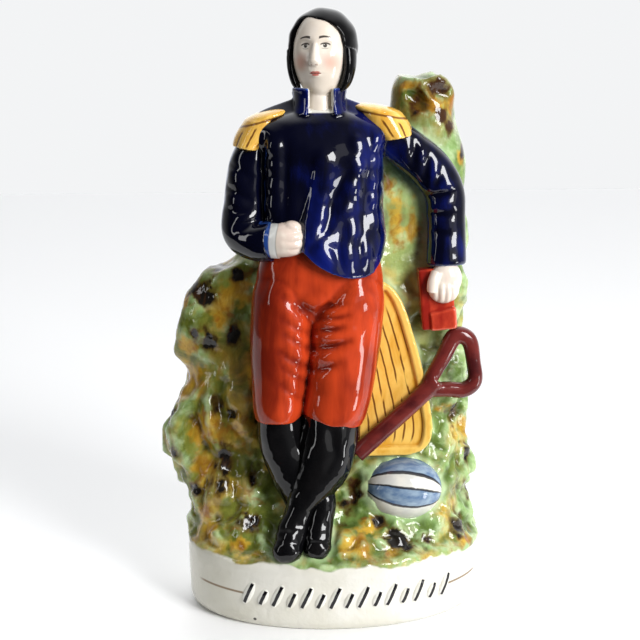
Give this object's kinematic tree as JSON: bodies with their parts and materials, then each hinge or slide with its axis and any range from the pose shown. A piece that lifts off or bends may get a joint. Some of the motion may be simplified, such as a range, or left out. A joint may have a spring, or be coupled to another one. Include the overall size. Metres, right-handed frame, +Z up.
{
  "type": "staffordshire figure",
  "caption": "Glazed earthenware chimney-piece figure of an officer in a blue coat, standing cross-legged against a mossy rock and tree stump on an oval base.",
  "frame": {"origin": "middle of the oval base's flat underside", "axes": "+Z up, +X to the viewer's right, the figure faces -Y"},
  "size_m": [0.1642, 0.0966, 0.3004],
  "materials": {
    "painted_earthenware": "gloss"
  },
  "bodies": {
    "root": {"figure": "painted_earthenware"}
  },
  "joints": []
}
